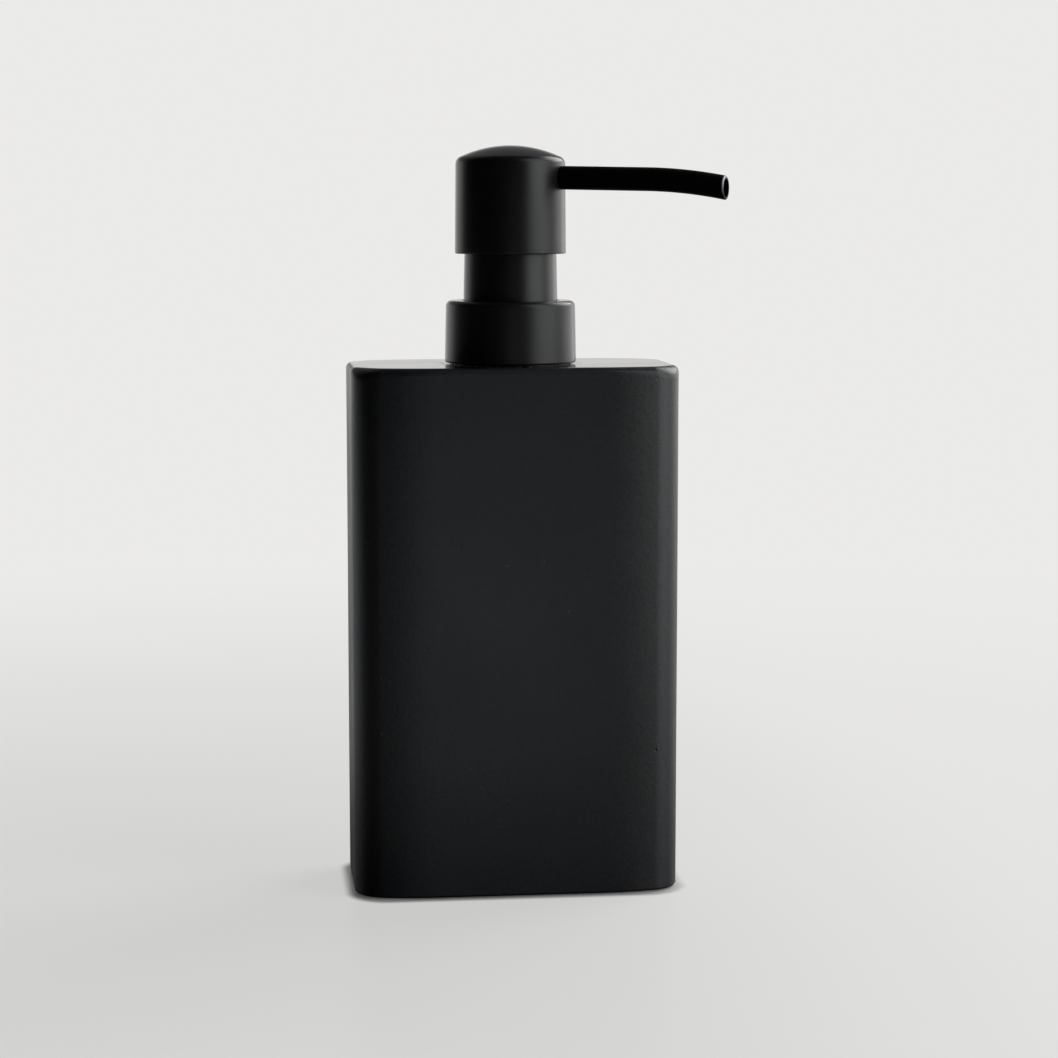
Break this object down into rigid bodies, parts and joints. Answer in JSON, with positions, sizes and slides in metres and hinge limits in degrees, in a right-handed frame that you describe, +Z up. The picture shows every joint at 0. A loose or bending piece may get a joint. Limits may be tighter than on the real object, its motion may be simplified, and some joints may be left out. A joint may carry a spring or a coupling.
{
  "type": "soap pump dispenser",
  "caption": "Matte black oblong bottle with a screw-on pump whose domed head presses down, springs back and turns its thin drooping spout to dispense soap.",
  "frame": {"origin": "middle of the base pad's lower face, on the surface the bottle stands on and below the pump's axis", "axes": "+Z up along the pump's axis, +X along the bottle's width, -Y towards the viewer"},
  "size_m": [0.0902, 0.0485, 0.1827],
  "materials": {
    "cast_resin": "matte cast resin with a very fine sandy grain",
    "pad": "soft foam",
    "inner_plastic": "natural moulded plastic",
    "pump_black": "satin black",
    "spout_black": "satin black paint",
    "seal": "soft seal",
    "clear_tube": "translucent tube",
    "steel": "bright wire and ball"
  },
  "bodies": {
    "bottle": {"bottle_shell": "cast_resin", "base_plate": "cast_resin", "base_pad": "pad", "neck_insert": "pump_black"},
    "pump": {"housing": "inner_plastic", "stem_guide": "inner_plastic", "neck_sleeve": "pump_black", "gasket": "seal", "dip_tube": "clear_tube", "ball_cage": "inner_plastic", "return_spring": "steel"},
    "collar": {"collar_shell": "pump_black", "collar_nut": "inner_plastic"},
    "plunger": {"stem": "inner_plastic", "valve_tip": "inner_plastic"},
    "head": {"head_shell": "pump_black", "head_core": "inner_plastic", "spout_tube": "spout_black"},
    "piston": {"piston": "seal"},
    "ball": {"inlet_ball": "steel"}
  },
  "joints": [
    {"name": "pump_rise", "type": "slide", "parent": "bottle", "child": "pump", "axis": [0, 0, 1], "range_m": [0, 0.0044]},
    {"name": "collar_turn", "type": "hinge", "parent": "pump", "child": "collar", "pos_m": [0, 0, 0.13741], "axis": [0, 0, 1], "range_deg": [0, 361]},
    {"name": "head_press", "type": "slide", "parent": "pump", "child": "plunger", "axis": [0, 0, -1], "range_m": [0, 0.0105], "stiffness_N_per_m": 600, "springref_m": -0.01, "deforming": ["return_spring"]},
    {"name": "head_swivel", "type": "hinge", "parent": "plunger", "child": "head", "pos_m": [0, 0, 0.15642], "axis": [0, 0, 1], "continuous": true},
    {"name": "piston_slip", "type": "slide", "parent": "plunger", "child": "piston", "axis": [0, 0, 1], "range_m": [0, 0.001]},
    {"name": "ball_lift", "type": "slide", "parent": "pump", "child": "ball", "axis": [0, 0, 1], "range_m": [0, 0.0015]}
  ],
  "couplings": [
    {"joint": "pump_rise", "follows": "collar_turn", "m_per_rad": 0.0006737}
  ]
}
